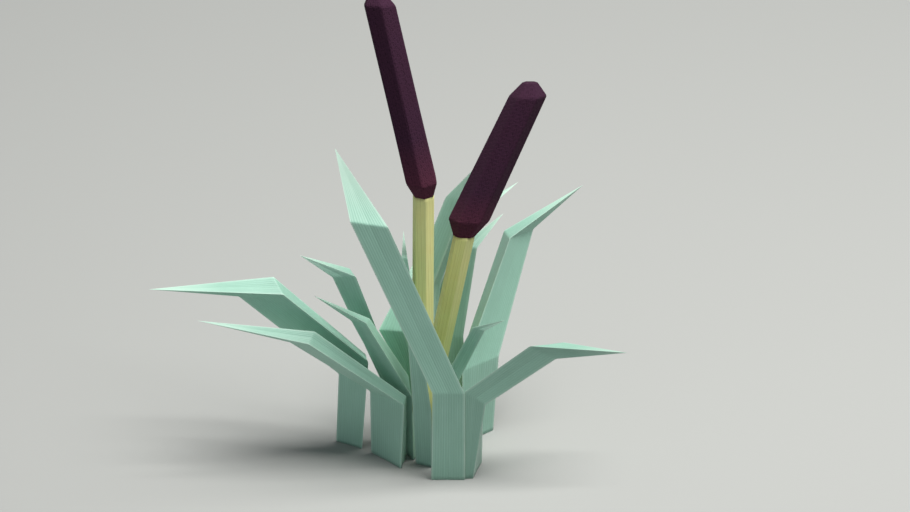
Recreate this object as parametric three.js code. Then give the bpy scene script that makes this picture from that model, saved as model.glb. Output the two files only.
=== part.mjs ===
// Cattail clump: two stalks, each a six-sided stem with a seed spike, among thirteen three-sided leaves.
// Millimetres, +Z up. The plant is cut off flat at the ground, and every stem and leaf stands on its cut.
import * as THREE from 'three';

// Driving dimensions of the stalks
const SIDES = 6;
const GAP = 0.3; // air between a stem's top and the spike on it
const STEM_RADIUS = 9;
const STEM_TURN = -Math.PI / 12; // radians, so that a wide and a narrow facet face the front
const CAP_RADIUS = 6.5; // the flat top of a spike's low cap

// Where the stalks stand, bend and end. A spike's seat and shoulder lie square to ringNormal,
// its crown and cap to crownNormal, and turn sets which way the facets face.
const LEFT_STALK = {
  foot: [5, -6, 0],
  top: [6, -6, 232],
  shoulder: [4, -6, 245], // where the spike has its full width
  crown: [-29, 29.6, 384.7],
  cap: [-31.5, 33.5, 394.5],
  ringNormal: [0, 0, 1],
  crownNormal: [0, 0.38, 0.92],
  shoulderRadius: 14.4,
  crownRadius: 14.4,
  turn: 0.6,
};
const RIGHT_STALK = {
  foot: [5, 38, 0],
  top: [38.4, 20, 180.5],
  shoulder: [42.4, 23.5, 193.6],
  crown: [89.6, 53, 290.3],
  cap: [91.2, 56, 300.5],
  ringNormal: [0.06, 0.25, 0.97],
  crownNormal: [0, 0.3, 0.95],
  shoulderRadius: 17,
  crownRadius: 15.6,
  turn: 0,
};

// Each leaf is a thick three-sided blade. Its foot, knee and fold are given by their left, front and
// right corners, read with the plant seen from the front, and the last stretch runs out to the tip.
const LEAVES = {
  leaf_front_tall: {
    foot: [[12, -56, 0], [39.3, -56, 0], [27, -34, 0]],
    knee: [[13, -56, 78], [39, -56, 78], [26, -38, 75]],
    fold: [[-53, -32, 221], [-22, -34, 217], [-35, -18, 213]],
    tip: [-65, 15, 263],
  },
  leaf_right_low: {
    foot: [[39.1, -54.5, 0], [45.6, -53.6, 0], [52.8, -25, 0]],
    knee: [[38.8, -54.4, 79], [55.8, -54, 66.7], [54, -26, 63]],
    fold: [[91, -46, 116], [112, -42, 102], [118, -30, 111]],
    tip: [169, -35, 104],
  },
  leaf_right_tall: {
    foot: [[33, 22, 0], [37, 5, 0], [62, 29, 0]],
    knee: [[35.4, 24, 68], [37, 5, 66], [66.5, 29, 67]],
    fold: [[70.4, 79, 154.3], [75, 58, 158], [94, 78, 156]],
    tip: [134, 101, 184],
  },
  leaf_right_inner: {
    foot: [[17, -13, 0], [29, -20, 0], [26, -4, 0]],
    knee: [[17, -13, 58], [29, -20, 59], [26, -4, 57]],
    fold: [[45, -23, 120.5], [55, -25, 118.3], [50, -11, 111]],
    tip: [71.2, -25, 128.3],
  },
  leaf_left_long: {
    foot: [[-64, 10, 0], [-43, -3, 0], [-50, 17, 0]],
    knee: [[-62, 10, 61], [-38, -2, 78], [-40, 13, 77]],
    fold: [[-142, 10, 131], [-106, 2, 137], [-114, 16, 146]],
    tip: [-214, 11, 137],
  },
  leaf_left_low: {
    foot: [[-36, -9, 0], [-12, -37, 0], [-8, -19, 0]],
    knee: [[-37, -5, 53.5], [-9.4, -32, 54.6], [-7.6, -25.5, 59.7]],
    fold: [[-101, -6, 98], [-86, -30, 109], [-81, -21, 116]],
    tip: [-175, -16, 123],
  },
  leaf_left_inner_high: {
    foot: [[-31, 10, 0], [-17, 5, 0], [-22, 24, 0]],
    knee: [[-28, 10, 55], [-14, 4, 55], [-18, 22, 56]],
    fold: [[-67, 22, 142], [-48, 16, 146], [-53, 34, 144]],
    tip: [-93, 37, 154],
  },
  leaf_left_inner_low: {
    foot: [[-8, -12, 0], [-2, -22.5, 0], [1.5, -16, 0]],
    knee: [[-18, -3, 46], [-3, -21, 56], [-6, -12, 71]],
    fold: [[-52, 3, 113], [-40, -11, 118], [-37, -1, 117]],
    tip: [-82, -5, 140],
  },
  leaf_middle_narrow: {
    foot: [[-0.4, -28, 0], [13.5, -35, 0], [8, -22, 0]],
    knee: [[-3.4, -28, 60.2], [12.6, -35, 50.3], [5, -22, 58]],
    fold: [[-11.6, -11, 178], [-6.8, -12, 177.6], [-8, -5, 176]],
    tip: [-10, 20, 185.6],
  },
  leaf_middle_left: {
    foot: [[-13, 17, 0], [3, 14, 0], [-4, 27, 0]],
    knee: [[-14, 17, 65], [-1, 14, 66], [-5, 26, 64]],
    fold: [[-30, 21, 95], [-8.5, 16, 96], [-18, 29, 95]],
    tip: [-1.2, 48, 142.6],
  },
  leaf_back_tall: {
    foot: [[4, 52, 0], [14, 50, 0], [9, 62, 0]],
    knee: [[-5.6, 50, 120], [13.9, 48, 121], [20, 57, 118]],
    fold: [[23.5, 62, 193.6], [39.5, 58, 193], [44, 68, 186.8]],
    tip: [56.8, 66, 228.6],
  },
  leaf_back_right: {
    foot: [[26, 42, 0], [42, 44, 0], [37, 54, 0]],
    knee: [[23, 48, 72], [38, 50, 74], [33, 59, 74]],
    fold: [[35, 64, 148], [49, 66, 145], [45, 77, 149]],
    tip: [70, 90, 164],
  },
  leaf_back_far: {
    foot: [[-6, 57, 0], [6, 62, 0], [-2, 72, 0]],
    knee: [[6, 59, 75], [21, 69, 75], [14, 78, 73]],
    fold: [[40, 80, 167], [54, 83, 168], [48, 94, 168]],
    tip: [82, 106, 184],
  },
};

// A closed solid through rings of corners, flat at the first ring and flat or pointed at the last
function loft(rings) {
  const positions = [];
  const triangle = (a, b, c) => positions.push(...a, ...b, ...c);
  const fan = (ring, first, second) => {
    for (let i = 1; i < ring.length - 1; i++) {
      triangle(ring[0], ring[i + first], ring[i + second]);
    }
  };
  for (let level = 0; level < rings.length - 1; level++) {
    const [low, high] = [rings[level], rings[level + 1]];
    for (let i = 0; i < low.length; i++) {
      const next = (i + 1) % low.length;
      triangle(low[i], low[next], high[next % high.length]);
      if (high.length > 1) triangle(low[i], high[next], high[i]);
    }
  }
  fan(rings[0], 1, 0);
  fan(rings.at(-1), 0, 1);
  const geometry = new THREE.BufferGeometry();
  geometry.setAttribute('position', new THREE.Float32BufferAttribute(positions, 3));
  geometry.computeVertexNormals();
  return geometry;
}

// Six corners at one radius round a centre, square to a direction
function hexagon(centre, radius, direction, turn) {
  const upright = new THREE.Vector3(0, 0, 1);
  const axis = new THREE.Vector3(...direction).normalize();
  const tilt = new THREE.Quaternion().setFromUnitVectors(upright, axis);
  return Array.from({ length: SIDES }, (_, i) => {
    const angle = turn + (i * 2 * Math.PI) / SIDES;
    const corner = new THREE.Vector3(radius * Math.cos(angle), radius * Math.sin(angle), 0);
    return corner.applyQuaternion(tilt).add(new THREE.Vector3(...centre)).toArray();
  });
}

function stem(stalk) {
  return loft([
    hexagon(stalk.foot, STEM_RADIUS, [0, 0, 1], STEM_TURN),
    hexagon(stalk.top, STEM_RADIUS, stalk.ringNormal, STEM_TURN),
  ]);
}

// The spike swells from the stem to its full width, and ends in a low cap
function spike(stalk) {
  const { ringNormal, crownNormal, turn } = stalk;
  const lift = new THREE.Vector3(...ringNormal).normalize().multiplyScalar(GAP);
  const seat = new THREE.Vector3(...stalk.top).add(lift).toArray();
  return loft([
    hexagon(seat, STEM_RADIUS, ringNormal, turn),
    hexagon(stalk.shoulder, stalk.shoulderRadius, ringNormal, turn),
    hexagon(stalk.crown, stalk.crownRadius, crownNormal, turn),
    hexagon(stalk.cap, CAP_RADIUS, crownNormal, turn),
  ]);
}

const leaf = ({ foot, knee, fold, tip }) => loft([foot, knee, fold, [tip]]);

const leafGreen = () => new THREE.MeshStandardMaterial({ color: '#86ad9b', roughness: 0.6, metalness: 0 });
const stemStraw = () => new THREE.MeshStandardMaterial({ color: '#b3b074', roughness: 0.7, metalness: 0 });
const seedBrown = () => new THREE.MeshStandardMaterial({ color: '#4a2c3c', roughness: 0.95, metalness: 0 });

const clump = new THREE.Group();

function add(name, geometry, material) {
  const mesh = new THREE.Mesh(geometry, material);
  mesh.name = name;
  clump.add(mesh);
}

add('stem_left', stem(LEFT_STALK), stemStraw());
add('stem_right', stem(RIGHT_STALK), stemStraw());
add('spike_left', spike(LEFT_STALK), seedBrown());
add('spike_right', spike(RIGHT_STALK), seedBrown());
for (const [name, corners] of Object.entries(LEAVES)) {
  add(name, leaf(corners), leafGreen());
}

// The origin is on the ground, under the middle of the clump's box
const middle = new THREE.Box3().setFromObject(clump).getCenter(new THREE.Vector3());
clump.position.set(-middle.x, -middle.y, 0);

export default clump;
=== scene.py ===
# %% [markdown]
# A clump of cattail
#
# Cattail grows in shallow water. Stiff leaves and round stalks rise from one foot, and each stalk carries a
# long seed spike. This plant is a simplified one: every leaf has three flat sides, and every stem and spike
# has six. So the lesson keeps those plain forms and puts the real plant's surface on them: ribs along the
# leaves, fibres along the stems, and the felt of thousands of small seeds on the spikes.

# %% Load the solids that everything is built around
import math

import bpy
import numpy as np
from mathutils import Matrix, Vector


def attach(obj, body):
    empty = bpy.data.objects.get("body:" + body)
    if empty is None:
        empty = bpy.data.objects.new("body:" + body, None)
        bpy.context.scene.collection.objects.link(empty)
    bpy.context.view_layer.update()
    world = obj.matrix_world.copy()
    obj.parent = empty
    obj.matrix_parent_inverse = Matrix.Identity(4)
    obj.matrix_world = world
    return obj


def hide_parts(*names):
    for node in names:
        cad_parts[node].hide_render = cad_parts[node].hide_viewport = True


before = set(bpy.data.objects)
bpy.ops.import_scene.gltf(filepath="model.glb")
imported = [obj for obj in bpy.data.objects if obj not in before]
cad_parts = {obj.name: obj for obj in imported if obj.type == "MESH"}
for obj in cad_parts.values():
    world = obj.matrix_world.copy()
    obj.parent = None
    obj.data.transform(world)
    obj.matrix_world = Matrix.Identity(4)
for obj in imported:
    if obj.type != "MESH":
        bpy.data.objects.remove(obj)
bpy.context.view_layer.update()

MM = 0.001
leaf_names = [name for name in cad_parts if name.startswith("leaf_")]

# %% [markdown]
# The camera
#
# The plant is seen from the front and a little above, almost without perspective. An orthographic camera
# gives that exactly: its scale is the width that the picture shows, at 0.8 mm a pixel. It could also be a
# very long lens, but then two values would have to agree, the lens and the distance.

# %% Camera
PICTURE_WIDTH_PX = 910
MM_PER_PIXEL = 0.8
VIEW_ELEVATION = math.radians(28)
VIEW_CENTRE = (0.0537, -0.025, 0.1731)  # the point in the middle of the picture, in metres
CAMERA_DISTANCE = 3.0

camera_data = bpy.data.cameras.new("camera")
camera_data.type = "ORTHO"
camera_data.ortho_scale = PICTURE_WIDTH_PX * MM_PER_PIXEL * MM
camera = bpy.data.objects.new("camera", camera_data)
camera.rotation_euler = (math.pi / 2 - VIEW_ELEVATION, 0, 0)
camera.location = (
    VIEW_CENTRE[0],
    VIEW_CENTRE[1] - CAMERA_DISTANCE * math.cos(VIEW_ELEVATION),
    VIEW_CENTRE[2] + CAMERA_DISTANCE * math.sin(VIEW_ELEVATION),
)
bpy.context.scene.collection.objects.link(camera)
bpy.context.scene.camera = camera
print("the picture is", round(camera_data.ortho_scale, 3), "m wide")

# %% [markdown]
# Colours and nodes
#
# Colours are written as hex, as a paint chart gives them, and one function turns them into the linear values
# that a shader wants. One small function adds a node, sets its options and fills or links its inputs, so a
# material below reads as a list of what it is made of.

# %% Colour and node helpers
def linear(code):
    """Linear red, green, blue and alpha of an sRGB hex colour: c / 12.92 when dark, else a power curve."""
    srgb = np.array([int(code[i:i + 2], 16) for i in (1, 3, 5)]) / 255
    values = np.where(srgb <= 0.04045, srgb / 12.92, ((srgb + 0.055) / 1.055) ** 2.4)
    return (*values.tolist(), 1.0)


def add(tree, kind, inputs=None, **settings):
    """Adds one node with its settings, each input given a value or linked to another node's output."""
    node = tree.nodes.new(kind)
    for key, value in settings.items():
        setattr(node, key, value)
    for key, value in (inputs or {}).items():
        if isinstance(value, bpy.types.NodeSocket):
            tree.links.new(value, node.inputs[key])
        else:
            node.inputs[key].default_value = value
    return node


def new_material(name):
    """An empty node material with its output, ready for a shader."""
    material = bpy.data.materials.new(name)
    material.use_nodes = True
    material.node_tree.nodes.clear()
    return material, material.node_tree, material.node_tree.nodes.new("ShaderNodeOutputMaterial")


# %% [markdown]
# Floor and light
#
# The stage is a pale matt floor under a pale, weak sky. One large soft lamp stands almost straight above, a
# little to the right. So faces that look up are bright, fronts are dark, and the floor lights them from
# below. A weak lamp in front on the left fills the shade on the sides that face it. The plain Standard view
# shows colours as they are, where a film-like view would grey them.

# %% Floor
FLOOR_SIZE = 8.0
FLOOR_DROP = 0.0002  # just under the plant's cuts

floor_mesh = bpy.data.meshes.new("floor")
outline = np.array([(-1, -1), (1, -1), (1, 1), (-1, 1)]) * FLOOR_SIZE / 2
floor_corners = np.column_stack((outline, np.full(4, -FLOOR_DROP)))
floor_mesh.from_pydata(floor_corners.tolist(), [], [(0, 1, 2, 3)])
floor = bpy.data.objects.new("floor", floor_mesh)
bpy.context.scene.collection.objects.link(floor)
floor_paint, tree, out = new_material("matt_floor_paint")
paint = add(tree, "ShaderNodeBsdfPrincipled", {"Base Color": linear("#a3a5a3"), "Roughness": 0.85})
tree.links.new(paint.outputs[0], out.inputs["Surface"])
floor_mesh.materials.append(floor_paint)

# %% Lights
LAMP_AIM = Vector((0.02, -0.02, 0.2))


def softbox(name, direction, distance, size, watts, tint):
    """A square area lamp, at a distance in a direction from the plant's middle and turned to it."""
    lamp = bpy.data.lights.new(name, "AREA")
    lamp.size = size
    lamp.energy = watts
    lamp.color = linear(tint)[:3]
    obj = bpy.data.objects.new(name, lamp)
    obj.location = LAMP_AIM + distance * Vector(direction).normalized()
    obj.rotation_euler = Vector(direction).to_track_quat("Z", "Y").to_euler()
    bpy.context.scene.collection.objects.link(obj)


softbox("key", (0.27, 0, 0.96), 2.4, 1.4, 112, "#fffdfa")
softbox("fill", (-0.6, -0.75, 0.3), 2.2, 1.8, 5, "#f2f6ff")
world = bpy.data.worlds.new("sky")
world.use_nodes = True
background = world.node_tree.nodes["Background"]
background.inputs["Color"].default_value = linear("#e4eaee")
background.inputs["Strength"].default_value = 0.16
bpy.context.scene.world = world
bpy.context.scene.view_settings.view_transform = "Standard"
print("floor, two softboxes and a pale sky")

# %% [markdown]
# Where every corner is
#
# The solids already hold each leaf's corners, so nothing is measured twice. A solid is a stack of rings: a
# foot, a knee, a fold and a tip on a leaf, and rings of six on stems and spikes. The rings could be typed in
# again, but reading them from the mesh keeps this surface and the solid together if the solid ever changes.

# %% Read the rings of a solid
SAME_POINT_DIGITS = 5  # metres, so that points closer than 0.01 mm are one corner
SAME_HEIGHT = 0.1 * MM


def corner_rings(node, up=(0, 0, 1)):
    """The corners of a solid as rings, shape (rings, corners, 3), lowest first, counter-clockwise from above.

    The lowest ring has the least height along up. Corner j of a later ring is the one that edges join to both
    corner j and corner j - 1 of the ring below. A pointed tip comes out as a ring of one corner, repeated.
    """
    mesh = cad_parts[node].data
    loose = np.zeros(len(mesh.vertices) * 3, np.float32)
    mesh.vertices.foreach_get("co", loose)
    corners, which = np.unique(loose.reshape(-1, 3).round(SAME_POINT_DIGITS), axis=0, return_inverse=True)
    loops = np.zeros(len(mesh.loops), np.int32)
    mesh.loops.foreach_get("vertex_index", loops)
    triangles = which.reshape(-1)[loops].reshape(-1, 3)
    joined = np.zeros((len(corners), len(corners)), bool)
    for a, b in ((0, 1), (1, 2), (2, 0), (1, 0), (2, 1), (0, 2)):
        joined[triangles[:, a], triangles[:, b]] = True

    up = np.array(up) / np.linalg.norm(up)
    right = np.cross((0, 1, 0), up)
    right /= np.linalg.norm(right)
    height = corners @ up
    lowest = np.flatnonzero(height < height.min() + SAME_HEIGHT)
    arms = corners[lowest] - corners[lowest].mean(axis=0)
    ring = lowest[np.argsort(np.arctan2(arms @ np.cross(up, right), arms @ right))]
    rings = [ring]
    free = np.ones(len(corners), bool)
    free[ring] = False
    while free.any():
        both = joined[ring] & joined[np.roll(ring, 1)] & free
        ring = both.argmax(axis=1)
        free[ring] = False
        rings.append(ring)
    return corners[np.array(rings)].astype(float)


for name in ("leaf_front_tall", "stem_left"):
    print(name, "has rings of", corner_rings(name).shape[1], "corners,", len(corner_rings(name)), "in all")

# %% [markdown]
# A skin as a grid
#
# Every piece is one grid: columns run round it, and rows run from its foot to its tip. A column is a mix of
# the section's corners, so the same columns fit every ring, wide or narrow. Averaging a column's place over
# a millimetre or so rounds the sharp edges, and averaging a row's place along the piece softens the folds.

# %% Columns round a section and rows along a piece
AVERAGE_STEPS = 9  # places that one average is taken over
CREASE_ROWS = 7  # rows that round off one fold
EDGE_FADE = 1.5 * MM  # how far an edge's dry, pale line reaches onto a side


def section_columns(rings, rib_spacing, columns_per_rib, rounding):
    """How a section's columns mix its corners, with the place of each column across the piece in metres.

    Each side gets a whole number of ribs, as near to rib_spacing apart as fits on its greatest width, and
    columns_per_rib columns to each. A column's weight for a corner falls evenly from 1 at that corner to 0 at
    the next, averaged over rounding to either side. Returns the weights (columns, corners), the place across,
    the rib phase (whole numbers lie on ribs), each column's nearness to a corner (1 on it, 0 away), and the
    whole way round.
    """
    widths = np.linalg.norm(np.roll(rings, -1, axis=1) - rings, axis=2).max(axis=0)
    ribs = np.maximum(1, np.round(widths / rib_spacing)).astype(int)
    counts = ribs * columns_per_rib
    starts = np.concatenate(([0], np.cumsum(widths)))
    across = np.concatenate([starts[i] + widths[i] * np.arange(n) / n for i, n in enumerate(counts)])
    phase = np.concatenate([ribs[i] * np.arange(n) / n for i, n in enumerate(counts)])
    window = np.linspace(-rounding, rounding, AVERAGE_STEPS)[:, None]
    weights = [
        np.interp(across + window, starts[:-1], hat, period=starts[-1]).mean(axis=0)
        for hat in np.eye(len(widths))
    ]
    to_corner = np.abs(across[:, None] - starts).min(axis=1)
    return np.array(weights).T, across, phase, np.exp(-(to_corner / EDGE_FADE) ** 2), starts[-1]


def row_stations(rings, spacing, crease):
    """Distances along a piece at which rows lie: evenly spaced, and closer together round each inner ring."""
    middles = rings.mean(axis=1)
    ring_at = np.concatenate(([0], np.cumsum(np.linalg.norm(np.diff(middles, axis=0), axis=1))))
    even = np.linspace(0, ring_at[-1], max(2, round(ring_at[-1] / spacing)) + 1)
    near = (ring_at[1:-1, None] + crease * np.linspace(-1, 1, CREASE_ROWS)).ravel()
    keep = np.abs(even[:, None] - ring_at[1:-1]).min(axis=1, initial=np.inf) > crease
    return np.sort(np.concatenate((even[keep], near))), ring_at


def swept_points(rings, weights, stations, ring_at, crease):
    """The grid of points (rows, columns, 3): each corner's path along the rings, mixed by the column weights.

    A path runs straight from ring to ring, and a point on it is the mean of the path over crease to either
    side, or over less where an end is nearer, so the ends stay where they are.
    """
    reach = np.minimum(crease, np.minimum(stations, ring_at[-1] - stations))
    window = stations + reach * np.linspace(-1, 1, AVERAGE_STEPS)[:, None]
    paths = np.stack([
        [np.interp(window, ring_at, rings[:, corner, axis]).mean(axis=0) for axis in range(3)]
        for corner in range(rings.shape[1])
    ])
    return np.einsum("cxr,kc->rkx", paths, weights)


def outward(points):
    """The unit normal at each grid point: the step along the columns crossed with the step along the rows."""
    round_step = np.roll(points, -1, axis=1) - np.roll(points, 1, axis=1)
    normal = np.cross(round_step, np.gradient(points, axis=0))
    length = np.linalg.norm(normal, axis=2, keepdims=True)
    return normal / np.maximum(length, 1e-12)


# %% [markdown]
# From grid to mesh
#
# The grid closes round after its last column, and each end closes onto one middle point through two smaller
# rings, so the piece is a closed skin with no hole at its foot. Every corner also gets its place on the skin
# in metres, across and along, as a UV map. The ribs and streaks of the materials follow that map.

# %% Mesh from a grid
END_RINGS = (0.7, 0.35)


def skin_object(name, points, across, girth, along, marks):
    """A closed mesh object from a grid of points, with a UV map in metres and one value for each mark.

    Both ends get rings at 0.7 and 0.35 of the end row's size and a middle point. marks maps a name to an
    array (rows, columns), which becomes a point attribute. cap is added: 1 on the ends, 0 on the side.
    """
    rows, columns = points.shape[:2]
    low_middle, high_middle = points[0].mean(axis=0), points[-1].mean(axis=0)
    low_rings = [low_middle + share * (points[0] - low_middle) for share in END_RINGS[::-1]]
    high_rings = [high_middle + share * (points[-1] - high_middle) for share in END_RINGS]
    grid = np.concatenate((low_rings, points, high_rings))
    vertices = np.concatenate((grid.reshape(-1, 3), [low_middle, high_middle]))
    total = len(grid)
    low_pole, high_pole = total * columns, total * columns + 1

    row, column = np.meshgrid(np.arange(total - 1), np.arange(columns), indexing="ij")
    beside = (column + 1) % columns
    quads = np.stack((row * columns + column, row * columns + beside,
                      (row + 1) * columns + beside, (row + 1) * columns + column), axis=-1).reshape(-1, 4)
    ring = np.arange(columns)
    ahead = (ring + 1) % columns
    low_fan = np.stack((np.full(columns, low_pole), ahead, ring), axis=-1)
    top = (total - 1) * columns
    high_fan = np.stack((np.full(columns, high_pole), top + ring, top + ahead), axis=-1)

    mesh = bpy.data.meshes.new(name)
    mesh.from_pydata(vertices.tolist(), [], quads.tolist() + low_fan.tolist() + high_fan.tolist())
    lengths = np.concatenate((np.full(2, along[0]), along, np.full(2, along[-1])))
    next_across = np.append(across[1:], girth)
    u_quads = np.stack((across[column], next_across[column], next_across[column], across[column]), axis=-1)
    v_quads = np.stack((lengths[row], lengths[row], lengths[row + 1], lengths[row + 1]), axis=-1)
    fans_u = np.stack((across, next_across, across), axis=-1)
    fans_v = np.repeat(lengths[[0, -1]], columns * 3)
    u = np.concatenate((u_quads.ravel(), fans_u.ravel(), fans_u.ravel()))
    v = np.concatenate((v_quads.ravel(), fans_v))
    places = np.stack((u, v), axis=-1).ravel().astype(np.float32)
    mesh.uv_layers.new(name="skin").data.foreach_set("uv", places)

    ends = np.zeros((total, columns))
    ends[:len(END_RINGS)] = 1
    ends[-len(END_RINGS):] = 1
    values = {"cap": np.concatenate((ends.ravel(), [1, 1]))}
    for mark, array in marks.items():
        full = np.concatenate((array[:1], array[:1], array, array[-1:], array[-1:])).ravel()
        values[mark] = np.concatenate((full, [array[0].mean(), array[-1].mean()]))
    for mark, array in values.items():
        mesh.attributes.new(mark, "FLOAT", "POINT").data.foreach_set("value", array.astype(np.float32))
    mesh.polygons.foreach_set("use_smooth", np.ones(len(mesh.polygons), bool))
    mesh.update()
    obj = bpy.data.objects.new(name, mesh)
    bpy.context.scene.collection.objects.link(obj)
    return obj


def dress(obj, node, material):
    """Gives a finished piece its material, and puts it in the place of its solid."""
    obj.data.materials.append(material)
    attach(obj, "root")
    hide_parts(node)
    print(obj.name, "has", len(obj.data.polygons), "faces")


# %% [markdown]
# Leaf blade: what it is made of
#
# A cattail leaf is a stiff, spongy blade under a waxy skin, blue-green with a dull bloom. Its veins run
# straight from foot to tip and show as fine raised ribs. The wax gives a broad, soft gloss. Between the
# ribs the green is painted deeper, as painted shade in the grooves, and towards the edges and the tip the
# skin is thinner, drier and paler. On the cut, air channels show as a pale net. Each leaf's whole green is
# also painted lighter or deeper, as painted light, by how much shade falls on it.

# %% Leaf material
def leaf_wax():
    """Waxy leaf skin: blue-green with long streaks, painted shade between ribs, paler at edges, tip and cut,
    with each leaf's painted light.
    """
    material, tree, out = new_material("waxy_leaf_skin")
    uv = add(tree, "ShaderNodeUVMap", uv_map="skin").outputs[0]
    place = add(tree, "ShaderNodeTexCoord").outputs["Object"]
    marks = {name: add(tree, "ShaderNodeAttribute", attribute_name=name).outputs["Fac"]
             for name in ("rib", "edge", "height", "cap", "painted_light_level")}

    # Streaks 1 mm wide and 40 mm long
    stretched = add(tree, "ShaderNodeVectorMath", {0: uv, 1: (1 / (1.0 * MM), 1 / (40 * MM), 1)},
                    operation="MULTIPLY").outputs[0]
    streaks = add(tree, "ShaderNodeTexNoise", {"Vector": stretched, "Scale": 1.0, "Detail": 3.0,
                                              "Roughness": 0.6}).outputs["Fac"]
    clouds = add(tree, "ShaderNodeTexNoise", {"Vector": place, "Scale": 1 / (30 * MM), "Detail": 4.0,
                                             "Roughness": 0.55}).outputs["Fac"]

    streaked = add(tree, "ShaderNodeMapRange", {"Value": streaks, "From Min": 0.3,
                                               "From Max": 0.7}).outputs[0]
    green = add(tree, "ShaderNodeMix", {0: streaked, 6: linear("#8dbaa7"), 7: linear("#9ac5b5")},
                data_type="RGBA").outputs[2]
    clouded = add(tree, "ShaderNodeMapRange", {"Value": clouds, "From Min": 0.35, "From Max": 0.7,
                                              "To Max": 0.45}).outputs[0]
    green = add(tree, "ShaderNodeMix", {0: clouded, 6: green, 7: linear("#86b39f")},
                data_type="RGBA").outputs[2]
    # Painted shade: the skin in the grooves between ribs is painted a deeper green
    groove_shade = add(tree, "ShaderNodeMapRange", {"Value": marks["rib"], "From Min": 0.0, "From Max": 0.8,
                                                "To Min": 0.28, "To Max": 0.0}).outputs[0]
    green = add(tree, "ShaderNodeMix", {0: groove_shade, 6: green, 7: linear("#77a291")},
                data_type="RGBA").outputs[2]
    at_edge = add(tree, "ShaderNodeMath", {0: marks["edge"], 1: 0.45}, operation="MULTIPLY").outputs[0]
    green = add(tree, "ShaderNodeMix", {0: at_edge, 6: green, 7: linear("#cbe3d6")},
                data_type="RGBA").outputs[2]
    at_tip = add(tree, "ShaderNodeMapRange", {"Value": marks["height"], "From Min": 0.8, "From Max": 1.0,
                                             "To Max": 0.5}).outputs[0]
    green = add(tree, "ShaderNodeMix", {0: at_tip, 6: green, 7: linear("#cfe4d6")},
                data_type="RGBA").outputs[2]
    # Painted light: each leaf's whole green is lifted where it lies in shade and deepened where it is lit
    # more
    green_with_painted_light = add(tree, "ShaderNodeHueSaturation", {"Color": green, "Value": marks["painted_light_level"]}).outputs[0]

    cells = add(tree, "ShaderNodeTexVoronoi", {"Vector": place, "Scale": 1 / (1.6 * MM)},
                feature="DISTANCE_TO_EDGE").outputs["Distance"]
    wall = add(tree, "ShaderNodeMapRange", {"Value": cells, "From Max": 0.12}).outputs[0]
    pith = add(tree, "ShaderNodeMix", {0: wall, 6: linear("#dfe6c4"), 7: linear("#93a67c")},
               data_type="RGBA").outputs[2]
    colour = add(tree, "ShaderNodeMix", {0: marks["cap"], 6: green_with_painted_light, 7: pith}, data_type="RGBA").outputs[2]

    pores = add(tree, "ShaderNodeTexNoise", {"Vector": place, "Scale": 1 / (0.7 * MM),
                                            "Detail": 2.0}).outputs["Fac"]
    relief = add(tree, "ShaderNodeMath", {0: streaks, 1: pores}, operation="ADD").outputs[0]
    bump = add(tree, "ShaderNodeBump", {"Height": relief, "Strength": 0.12, "Distance": 0.15 * MM}).outputs[0]
    rough = add(tree, "ShaderNodeMapRange", {"Value": clouds, "To Min": 0.42, "To Max": 0.58}).outputs[0]
    shader = add(tree, "ShaderNodeBsdfPrincipled", {
        "Base Color": colour, "Roughness": rough, "Normal": bump, "IOR": 1.5,
        "Sheen Weight": 0.25, "Sheen Roughness": 0.5, "Sheen Tint": linear("#e6f2ec"),
    })
    tree.links.new(shader.outputs[0], out.inputs["Surface"])
    return material


leaf_material = leaf_wax()
print("made", leaf_material.name)

# %% [markdown]
# Leaf blade: its skin
#
# Each blade keeps its three sides and its folds. Its own surface is added on the inside of that outline, so
# it never grows: ribs stand up to the solid's face, and the skin between them lies a tenth of a
# millimetre lower. The sides are also pressed in a little along their middle, as a real blade's are.
# Real ribs are 1 to 1.5 mm apart, and these are 2.4 mm apart, so that they show at this picture's size.

# %% Make every leaf
RIB_SPACING = 2.4 * MM
COLUMNS_PER_RIB = 6
RIB_DEPTH = 0.12 * MM
RIB_POWER = 0.7
HOLLOW_DEPTH = 0.35 * MM
EDGE_ROUNDING = 0.5 * MM
LEAF_ROW_SPACING = 3.0 * MM
FOLD_ROUNDING = 1.2 * MM
# How light each leaf's green is, as painted light that makes up for how light falls on each leaf: paler where
# a leaf lies in the others' shade, deepest on the low right leaf, palest on the one in the clump's middle
LEAF_PAINTED_LIGHT_LEVELS = {
    "leaf_front_tall": 0.98, "leaf_right_low": 0.87, "leaf_right_tall": 1.12, "leaf_right_inner": 0.97,
    "leaf_left_long": 1.15, "leaf_left_low": 1.08, "leaf_left_inner_high": 1.15, "leaf_left_inner_low": 1.12,
    "leaf_middle_narrow": 1.05, "leaf_middle_left": 1.3,
    "leaf_back_tall": 1.15, "leaf_back_right": 1.0, "leaf_back_far": 1.04,
}


def side_share(weights):
    """How far a column is from its side's two corners: 0 on a corner and 1 halfway between two."""
    return 1 - np.abs(2 * np.sort(weights, axis=1)[:, -1] - 1)


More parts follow.
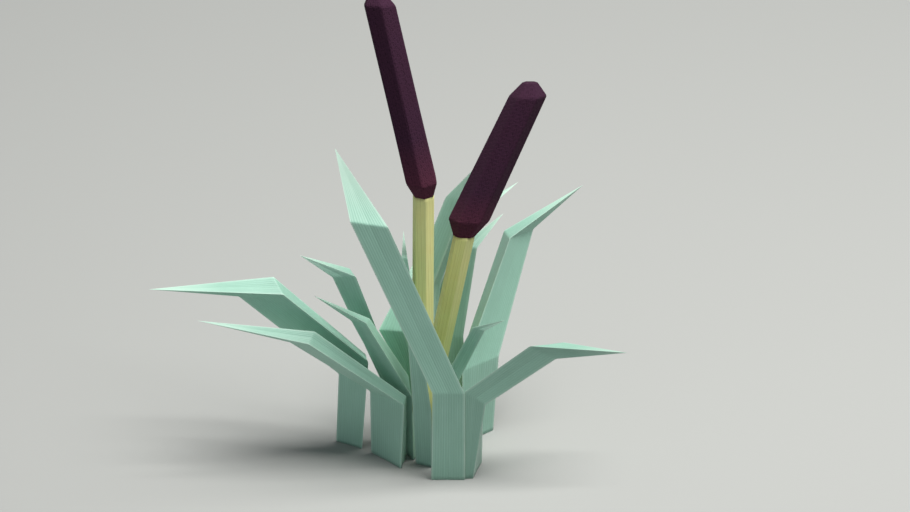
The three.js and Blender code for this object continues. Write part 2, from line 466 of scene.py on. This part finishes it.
def make_leaf(node, painted_light_level):
    """One blade: the solid's sides with rounded edges, ribs and a shallow hollow along each side.

    The inward depth is the rib depth times |sin(pi phase)| to the rib power, narrow on the ribs and broad
    between them, plus the hollow depth times the squared share of the way from an edge to a side's middle.
    Both fade with the blade's width towards the tip.
    """
    rings = corner_rings(node)
    weights, across, phase, edge, girth = section_columns(rings, RIB_SPACING, COLUMNS_PER_RIB, EDGE_ROUNDING)
    stations, ring_at = row_stations(rings, LEAF_ROW_SPACING, FOLD_ROUNDING)
    points = swept_points(rings, weights, stations, ring_at, FOLD_ROUNDING)
    around = np.linalg.norm(np.roll(points, -1, axis=1) - points, axis=2).sum(axis=1, keepdims=True)
    slim = around / around.max()
    between = np.abs(np.sin(np.pi * phase)) ** RIB_POWER
    depth = slim * (RIB_DEPTH * between + HOLLOW_DEPTH * side_share(weights) ** 2)
    normal = outward(points)
    normal[0, :, 2] = 0
    points = points - depth[:, :, None] * normal
    marks = {
        "rib": np.broadcast_to(1 - between, depth.shape),
        "edge": np.broadcast_to(edge, depth.shape),
        "height": np.broadcast_to((stations / stations[-1])[:, None], depth.shape),
        # Painted light: one lightness for the whole leaf, set against how much shade falls on it
        "painted_light_level": np.full(depth.shape, painted_light_level),
    }
    blade = skin_object(node.replace("leaf", "blade"), points, across, girth, stations, marks)
    dress(blade, node, leaf_material)


for node in leaf_names:
    make_leaf(node, LEAF_PAINTED_LIGHT_LEVELS[node])

# %% [markdown]
# Stem
#
# The stalk under a spike is a straw-coloured, pithy rod with a hard rind of fine fibres. It keeps the
# solid's six sides with slightly eased edges. The fibres are ribs a millimetre apart, made like the leaf's.
# The rind is drier and yellower than the leaves, with darker streaks and a faint green near the ground.

# %% Stem material
def stem_rind():
    """Fibrous rind: straw with olive streaks, painted shade in the grooves, and pale pith on the cut."""
    material, tree, out = new_material("fibrous_stem_rind")
    uv = add(tree, "ShaderNodeUVMap", uv_map="skin").outputs[0]
    place = add(tree, "ShaderNodeTexCoord").outputs["Object"]
    marks = {name: add(tree, "ShaderNodeAttribute", attribute_name=name).outputs["Fac"]
             for name in ("rib", "height", "cap")}
    # Fibre bundles 0.8 mm wide and 25 mm long
    stretched = add(tree, "ShaderNodeVectorMath", {0: uv, 1: (1 / (0.8 * MM), 1 / (25 * MM), 1)},
                    operation="MULTIPLY").outputs[0]
    streaks = add(tree, "ShaderNodeTexNoise", {"Vector": stretched, "Scale": 1.0, "Detail": 4.0,
                                              "Roughness": 0.65}).outputs["Fac"]
    clouds = add(tree, "ShaderNodeTexNoise", {"Vector": place, "Scale": 1 / (22 * MM),
                                             "Detail": 3.0}).outputs["Fac"]
    streaked = add(tree, "ShaderNodeMapRange", {"Value": streaks, "From Min": 0.3,
                                               "From Max": 0.7}).outputs[0]
    straw = add(tree, "ShaderNodeMix", {0: streaked, 6: linear("#e2e296"), 7: linear("#f0f0ab")},
                data_type="RGBA").outputs[2]
    low = add(tree, "ShaderNodeMapRange", {"Value": marks["height"], "From Max": 0.45, "To Min": 0.35,
                                          "To Max": 0.0}).outputs[0]
    straw = add(tree, "ShaderNodeMix", {0: low, 6: straw, 7: linear("#cbd695")}, data_type="RGBA").outputs[2]
    clouded = add(tree, "ShaderNodeMapRange", {"Value": clouds, "From Min": 0.4, "From Max": 0.75,
                                              "To Max": 0.4}).outputs[0]
    straw = add(tree, "ShaderNodeMix", {0: clouded, 6: straw, 7: linear("#e8da8c")},
                data_type="RGBA").outputs[2]
    # Painted shade: the rind in the grooves between fibres is painted a darker brown
    groove_shade = add(tree, "ShaderNodeMapRange", {"Value": marks["rib"], "From Max": 0.8, "To Min": 0.3,
                                                "To Max": 0.0}).outputs[0]
    straw = add(tree, "ShaderNodeMix", {0: groove_shade, 6: straw, 7: linear("#b0a762")},
                data_type="RGBA").outputs[2]
    cells = add(tree, "ShaderNodeTexVoronoi", {"Vector": place, "Scale": 1 / (1.1 * MM)},
                feature="DISTANCE_TO_EDGE").outputs["Distance"]
    wall = add(tree, "ShaderNodeMapRange", {"Value": cells, "From Max": 0.15}).outputs[0]
    pith = add(tree, "ShaderNodeMix", {0: wall, 6: linear("#e6dfbc"), 7: linear("#b9ab7c")},
               data_type="RGBA").outputs[2]
    colour = add(tree, "ShaderNodeMix", {0: marks["cap"], 6: straw, 7: pith}, data_type="RGBA").outputs[2]
    bump = add(tree, "ShaderNodeBump", {"Height": streaks, "Strength": 0.25, "Distance": 0.2 * MM}).outputs[0]
    rough = add(tree, "ShaderNodeMapRange", {"Value": streaks, "To Min": 0.55, "To Max": 0.8}).outputs[0]
    shader = add(tree, "ShaderNodeBsdfPrincipled", {
        "Base Color": colour, "Roughness": rough, "Normal": bump, "IOR": 1.45,
    })
    tree.links.new(shader.outputs[0], out.inputs["Surface"])
    return material


# %% Make both stems
FIBRE_SPACING = 1.1 * MM
COLUMNS_PER_FIBRE = 5
FIBRE_DEPTH = 0.09 * MM
STEM_EDGE_ROUNDING = 0.7 * MM
STEM_ROW_SPACING = 3.0 * MM
FIBRE_FADE = 0.3  # the part of a fibre's depth that comes and goes along it
FIBRE_FADE_LENGTH = 17 * MM
FIBRE_OFFSET = 2.4  # radians from one fibre's coming and going to the next one's


def make_stem(node, material):
    """One stem: six sides with eased edges, and fibres along them.

    The inward depth is the fibre depth times |sin(pi phase)|, times a sine wave along each fibre that takes
    it down by up to twice the fading part.
    """
    rings = corner_rings(node)
    weights, across, phase, _, girth = section_columns(rings, FIBRE_SPACING, COLUMNS_PER_FIBRE,
                                                       STEM_EDGE_ROUNDING)
    stations, ring_at = row_stations(rings, STEM_ROW_SPACING, STEM_EDGE_ROUNDING)
    points = swept_points(rings, weights, stations, ring_at, STEM_EDGE_ROUNDING)
    wave = np.sin(stations[:, None] / FIBRE_FADE_LENGTH + FIBRE_OFFSET * np.floor(phase))
    fade = 1 - FIBRE_FADE + FIBRE_FADE * wave
    between = np.abs(np.sin(np.pi * phase))
    depth = FIBRE_DEPTH * between * fade
    normal = outward(points)
    normal[0, :, 2] = 0
    points = points - depth[:, :, None] * normal
    marks = {
        "rib": 1 - between * fade,
        "height": np.broadcast_to((stations / stations[-1])[:, None], depth.shape),
    }
    rind = skin_object(node.replace("stem", "stem_rind"), points, across, girth, stations, marks)
    dress(rind, node, material)


stem_material = stem_rind()
for node in ("stem_left", "stem_right"):
    make_stem(node, stem_material)

# %% [markdown]
# Seed spike
#
# The brown spike is thousands of seed hairs packed so tightly that only their ends show, as a dense felt
# that swallows light. Hair strands would be too many, so each tuft of hair ends is a small round bump on the
# grid, in staggered rows, and a finer bump in the material stands for the single ends. A soft sheen on the
# shader gives the pale bloom that felt has where it turns away.

# %% Spike material
def seed_felt():
    """Packed seed felt: very dark purple-brown, with painted shade between tufts, redder low down, with a
    soft bloom.
    """
    material, tree, out = new_material("seed_felt")
    place = add(tree, "ShaderNodeTexCoord").outputs["Object"]
    marks = {name: add(tree, "ShaderNodeAttribute", attribute_name=name).outputs["Fac"]
             for name in ("tuft", "height", "cap")}
    clouds = add(tree, "ShaderNodeTexNoise", {"Vector": place, "Scale": 1 / (14 * MM),
                                             "Detail": 4.0}).outputs["Fac"]
    ends = add(tree, "ShaderNodeTexNoise", {"Vector": place, "Scale": 1 / (0.5 * MM), "Detail": 3.0,
                                           "Roughness": 0.7}).outputs["Fac"]
    speck = add(tree, "ShaderNodeMapRange", {"Value": ends, "From Min": 0.35, "From Max": 0.7}).outputs[0]
    brown = add(tree, "ShaderNodeMix", {0: speck, 6: linear("#2f1829"), 7: linear("#3e2236")},
                data_type="RGBA").outputs[2]
    clouded = add(tree, "ShaderNodeMapRange", {"Value": clouds, "From Min": 0.35, "From Max": 0.7,
                                              "To Max": 0.6}).outputs[0]
    brown = add(tree, "ShaderNodeMix", {0: clouded, 6: brown, 7: linear("#371e32")},
                data_type="RGBA").outputs[2]
    low = add(tree, "ShaderNodeMapRange", {"Value": marks["height"], "From Max": 0.3, "To Min": 0.9,
                                          "To Max": 0.0}).outputs[0]
    brown = add(tree, "ShaderNodeMix", {0: low, 6: brown, 7: linear("#542838")}, data_type="RGBA").outputs[2]
    # Painted shade: the felt in the hollows between tufts is painted almost black
    tuft_gap_shade = add(tree, "ShaderNodeMapRange", {"Value": marks["tuft"], "From Max": 0.7, "To Min": 0.75,
                                          "To Max": 0.0}).outputs[0]
    colour = add(tree, "ShaderNodeMix", {0: tuft_gap_shade, 6: brown, 7: linear("#1c0e16")}, data_type="RGBA").outputs[2]
    bump = add(tree, "ShaderNodeBump", {"Height": ends, "Strength": 0.5, "Distance": 0.3 * MM}).outputs[0]
    shader = add(tree, "ShaderNodeBsdfPrincipled", {
        "Base Color": colour, "Roughness": 0.92, "Normal": bump, "IOR": 1.35, "Specular IOR Level": 0.25,
        "Sheen Weight": 0.1, "Sheen Roughness": 0.4, "Sheen Tint": linear("#a58295"),
    })
    tree.links.new(shader.outputs[0], out.inputs["Surface"])
    return material


# %% Make both spikes
TUFT_SPACING = 1.9 * MM
COLUMNS_PER_TUFT = 4
TUFT_DEPTH = 0.55 * MM
SPIKE_ROW_SPACING = 0.48 * MM
SPIKE_EDGE_ROUNDING = 1.6 * MM
SHOULDER_ROUNDING = 1.4 * MM
TUFT_REACH = 0.62  # a tuft's radius, in tuft spacings
TUFT_STRAY = 0.16  # how far a tuft may lie off its place, in tuft spacings
TUFT_KEYS = (12.9898, 78.233)  # far from whole numbers, so that neighbours' sines have nothing in common
STRAY_RATES = (1.7, 2.3)  # unlike each other, so that straying across and along aren't tied together
# Square to each spike's lowest ring, pointing up into the spike
SPIKE_LEANS = {"spike_left": (0, 0, 1), "spike_right": (0.06, 0.25, 0.97)}


def tuft_height(turn, stations, around):
    """Round bumps in staggered rows: the root of 1 minus the squared distance to the nearest centre.

    turn is the place round the spike in tufts, from 0 to around. Centres lie a whole tuft apart in a row, and
    each row is shifted by half a tuft. A sine of each centre's row and column moves it a little to the side.
    """
    row_step = TUFT_SPACING * math.sqrt(3) / 2
    level = stations[:, None] / row_step
    best = np.full((len(stations), len(turn)), np.inf)
    for row_offset in (0, 1):
        row = np.floor(level) + row_offset
        shift = 0.5 * (row % 2)
        column = np.round(turn - shift)
        key = row * TUFT_KEYS[0] + (column % around) * TUFT_KEYS[1]
        off_x = TUFT_STRAY * np.sin(key * STRAY_RATES[0])
        off_y = TUFT_STRAY * np.sin(key * STRAY_RATES[1] + 1)
        distance = np.hypot(turn - shift - column - off_x, (level - row - off_y) * math.sqrt(3) / 2)
        best = np.minimum(best, distance)
    return np.sqrt(np.clip(1 - (best / TUFT_REACH) ** 2, 0, 1))


def make_spike(node, material):
    """One spike: six sides with rounded edges, and its skin lowered between the tufts by the tuft depth."""
    rings = corner_rings(node, SPIKE_LEANS[node])
    weights, across, _, _, girth = section_columns(rings, TUFT_SPACING, COLUMNS_PER_TUFT,
                                                   SPIKE_EDGE_ROUNDING)
    stations, ring_at = row_stations(rings, SPIKE_ROW_SPACING, SHOULDER_ROUNDING)
    points = swept_points(rings, weights, stations, ring_at, SHOULDER_ROUNDING)
    around = round(girth / TUFT_SPACING)
    tufts = tuft_height(across / girth * around, stations, around)
    inward = (TUFT_DEPTH * (1 - tufts))[:, :, None] * outward(points)
    points[1:-1] -= inward[1:-1]
    marks = {
        "tuft": tufts,
        "height": np.broadcast_to((stations / stations[-1])[:, None], tufts.shape),
    }
    felt = skin_object(node.replace("spike", "seed_felt"), points, across, girth, stations, marks)
    dress(felt, node, material)


spike_material = seed_felt()
for node in SPIKE_LEANS:
    make_spike(node, spike_material)
